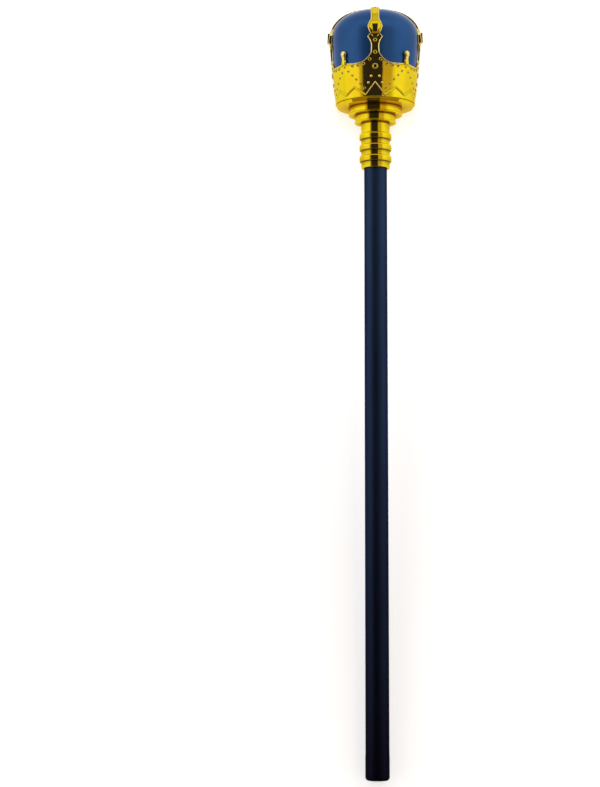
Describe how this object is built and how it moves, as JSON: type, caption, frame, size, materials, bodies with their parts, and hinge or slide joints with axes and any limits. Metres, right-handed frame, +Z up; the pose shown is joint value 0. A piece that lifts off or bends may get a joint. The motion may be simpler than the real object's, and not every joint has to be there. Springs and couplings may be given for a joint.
{
  "type": "toy sceptre",
  "caption": "Slim costume sceptre with a dark tube handle, a ringed gold neck and an openwork gold crown arched over a blue domed cap, lying on its back.",
  "frame": {"origin": "middle of the lying sceptre's bounding box, on the floor it lies on", "axes": "+X runs from the butt towards the head, +Z up out of the sceptre's front, +Y to the left of its travel"},
  "size_m": [0.503, 0.0628, 0.0622],
  "materials": {
    "navy_shaft": "satin",
    "gold_neck": "metallised gold",
    "gold_crown": "metallised gold",
    "blue_cap": "glossy"
  },
  "bodies": {
    "root": {"shaft": "navy_shaft", "neck": "gold_neck", "crown": "gold_crown", "cap": "blue_cap"}
  },
  "joints": []
}
